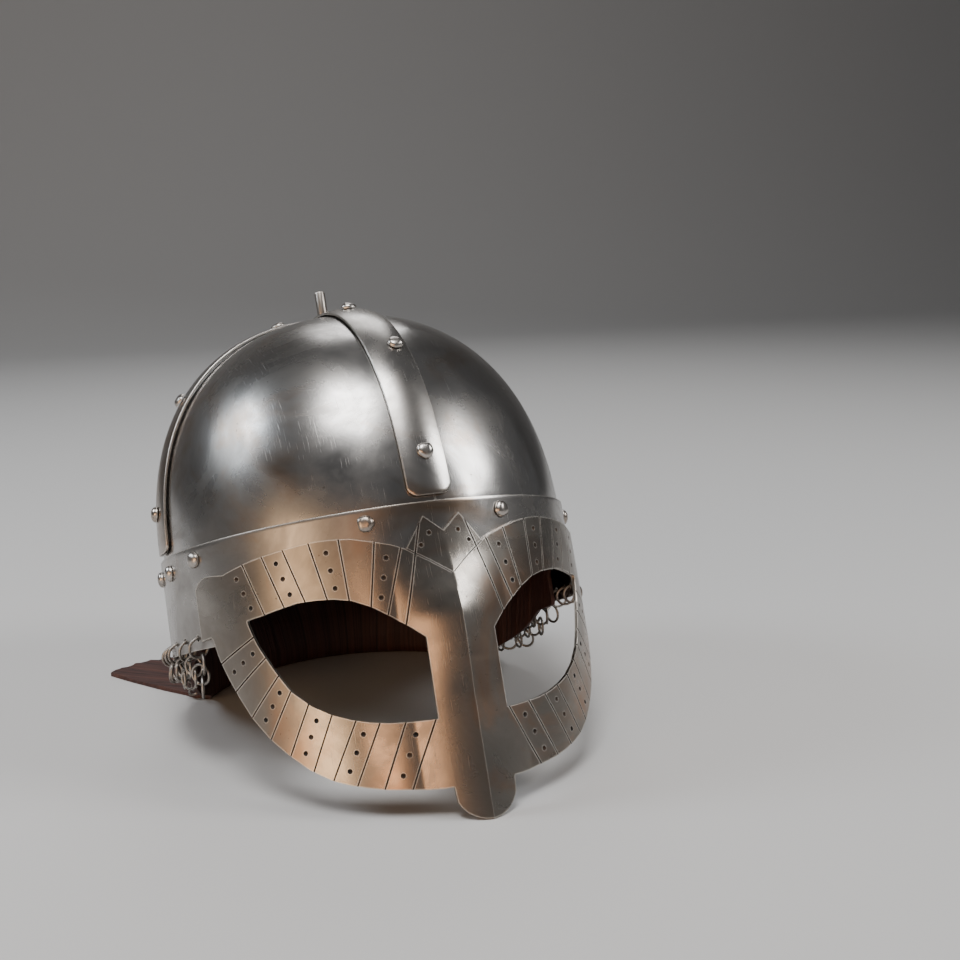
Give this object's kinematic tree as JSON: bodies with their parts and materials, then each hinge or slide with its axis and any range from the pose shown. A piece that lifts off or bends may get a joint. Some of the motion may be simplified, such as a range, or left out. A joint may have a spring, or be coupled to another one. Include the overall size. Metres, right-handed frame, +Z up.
{
  "type": "norse iron helmet",
  "caption": "Riveted iron skull of plates and crowned strips with a spectacle mask, a mail fringe and a leather neck guard.",
  "frame": {"origin": "on the resting surface, under the middle of the whole helmet's footprint box", "axes": "+Z up as the helmet rests tipped back on its nose tip and nape, -Y the way the face looks, +X the wearer's left"},
  "size_m": [0.2382, 0.28, 0.2143],
  "materials": {
    "dome_steel": "worn polish, clouded",
    "strip_steel": "worn polish",
    "mask_steel": "worn satin with warm tarnish",
    "rivet_steel": "hammered",
    "mail_steel": "dark oiled",
    "leather": "dry, striated"
  },
  "bodies": {
    "root": {"apex_pin": "rivet_steel", "brow_band": "strip_steel", "dome_plate_back_left": "dome_steel", "dome_plate_back_right": "dome_steel", "dome_plate_front_left": "dome_steel", "dome_plate_front_right": "dome_steel", "long_strip": "strip_steel", "mail_curtain": "mail_steel", "mask": "mask_steel", "neck_leather": "leather", "rivet_back_1": "rivet_steel", "rivet_back_2": "rivet_steel", "rivet_back_3": "rivet_steel", "rivet_band_back_left_1": "rivet_steel", "rivet_band_back_left_2": "rivet_steel", "rivet_band_back_left_3": "rivet_steel", "rivet_band_back_right_1": "rivet_steel", "rivet_band_back_right_2": "rivet_steel", "rivet_band_back_right_3": "rivet_steel", "rivet_band_front_left_1": "rivet_steel", "rivet_band_front_left_2": "rivet_steel", "rivet_band_front_left_3": "rivet_steel", "rivet_band_front_right_1": "rivet_steel", "rivet_band_front_right_2": "rivet_steel", "rivet_band_front_right_3": "rivet_steel", "rivet_front_1": "rivet_steel", "rivet_front_2": "rivet_steel", "rivet_front_3": "rivet_steel", "rivet_left_1": "rivet_steel", "rivet_left_2": "rivet_steel", "rivet_left_3": "rivet_steel", "rivet_right_1": "rivet_steel", "rivet_right_2": "rivet_steel", "rivet_right_3": "rivet_steel", "side_strip_left": "strip_steel", "side_strip_right": "strip_steel"}
  },
  "joints": []
}
